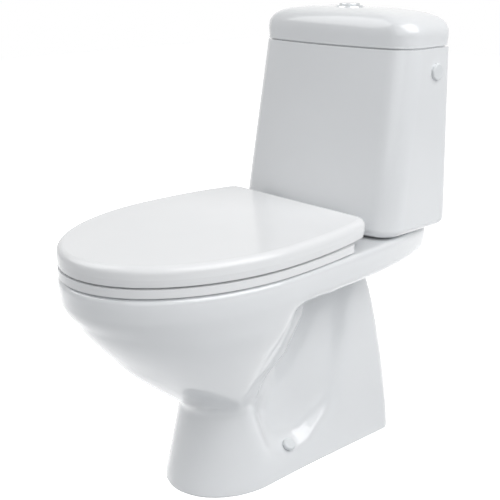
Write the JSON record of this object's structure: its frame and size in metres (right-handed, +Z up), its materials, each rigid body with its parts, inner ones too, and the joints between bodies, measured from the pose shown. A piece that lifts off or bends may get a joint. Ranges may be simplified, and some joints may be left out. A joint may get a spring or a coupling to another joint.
{
  "type": "close coupled toilet",
  "caption": "Close coupled toilet: floor standing pan with horizontal outlet, cistern with dual push button, hinged seat ring and cover.",
  "frame": {"origin": "on the floor, under the middle of the bounding box", "axes": "+X to the right seen from the front, +Y to the wall behind, +Z up"},
  "size_m": [0.3644, 0.6501, 0.768],
  "materials": {
    "vitreous_china": "slip cast, white glaze, fired",
    "duroplast": "compression moulded, polished white",
    "chrome": "bright chrome plate on moulded ABS",
    "stainless_steel": "stainless, turned",
    "brass": "turned and threaded",
    "black_rubber": "moulded rubber",
    "soft_buffer": "moulded white elastomer",
    "white_nylon": "injection moulded, white",
    "valve_plastic": "injection moulded, pale grey ABS",
    "float_blue": "injection moulded, blue"
  },
  "bodies": {
    "pan": {"bezel_nut": "white_nylon", "bolt_cushions": "black_rubber", "bolt_seals": "black_rubber", "bolt_washers": "stainless_steel", "button_bezel": "chrome", "cistern": "vitreous_china", "cistern_lid": "vitreous_china", "cistern_pads": "black_rubber", "coupling_bolts": "stainless_steel", "coupling_nuts": "stainless_steel", "coupling_washer": "black_rubber", "fill_valve_backnut": "white_nylon", "fill_valve_body": "valve_plastic", "fill_valve_gasket": "black_rubber", "fill_valve_tail": "brass", "floor_bushes": "white_nylon", "flush_valve_backnut": "valve_plastic", "flush_valve_body": "valve_plastic", "flush_valve_gasket": "black_rubber", "flush_valve_head": "valve_plastic", "foot_front": "vitreous_china", "foot_left": "vitreous_china", "foot_right": "vitreous_china", "hinge_cones": "black_rubber", "hinge_nuts": "white_nylon", "hinge_posts": "white_nylon", "hinge_studs": "stainless_steel", "left_floor_cap": "white_nylon", "pan": "vitreous_china", "right_floor_cap": "white_nylon", "rim": "vitreous_china", "side_plug": "white_nylon", "side_plug_gasket": "black_rubber", "side_plug_nut": "white_nylon", "trapway": "vitreous_china"},
    "seat_ring": {"seat_ring": "duroplast", "seat_buffers": "soft_buffer", "hinge_pins": "stainless_steel"},
    "seat_cover": {"seat_cover": "duroplast", "cover_buffers": "soft_buffer"},
    "full_flush": {"full_flush_button": "chrome", "full_flush_rod": "white_nylon"},
    "half_flush": {"half_flush_button": "chrome", "half_flush_rod": "white_nylon"},
    "flush_plunger": {"flush_plunger": "valve_plastic", "flush_seal": "black_rubber"},
    "float_arm": {"float_arm": "valve_plastic"},
    "float": {"float_cup": "float_blue"}
  },
  "joints": [
    {"name": "seat_hinge", "type": "hinge", "parent": "pan", "child": "seat_ring", "pos_m": [0, 0.117, 0.424], "axis": [-1, 0, 0], "range_deg": [0, 95]},
    {"name": "cover_hinge", "type": "hinge", "parent": "seat_ring", "child": "seat_cover", "pos_m": [0, 0.117, 0.424], "axis": [1, 0, 0], "range_deg": [-97, 0]},
    {"name": "full_flush_press", "type": "slide", "parent": "pan", "child": "full_flush", "axis": [0, 0, -1], "range_m": [0, 0.006], "stiffness_N_per_m": 400, "springref_m": -0.01},
    {"name": "half_flush_press", "type": "slide", "parent": "pan", "child": "half_flush", "axis": [0, 0, -1], "range_m": [0, 0.006], "stiffness_N_per_m": 400, "springref_m": -0.01},
    {"name": "plunger_lift", "type": "slide", "parent": "pan", "child": "flush_plunger", "axis": [0, 0, 1], "range_m": [0, 0.0121]},
    {"name": "float_rise", "type": "slide", "parent": "pan", "child": "float", "axis": [0, 0, 1], "range_m": [0, 0.0143]},
    {"name": "arm_swing", "type": "hinge", "parent": "pan", "child": "float_arm", "pos_m": [-0.10452, 0.283, 0.672], "axis": [0, -1, 0], "range_deg": [0, 23]}
  ],
  "couplings": [
    {"joint": "plunger_lift", "follows": "full_flush_press", "ratio": 2},
    {"joint": "arm_swing", "follows": "float_rise", "rad_per_m": 27.965}
  ]
}
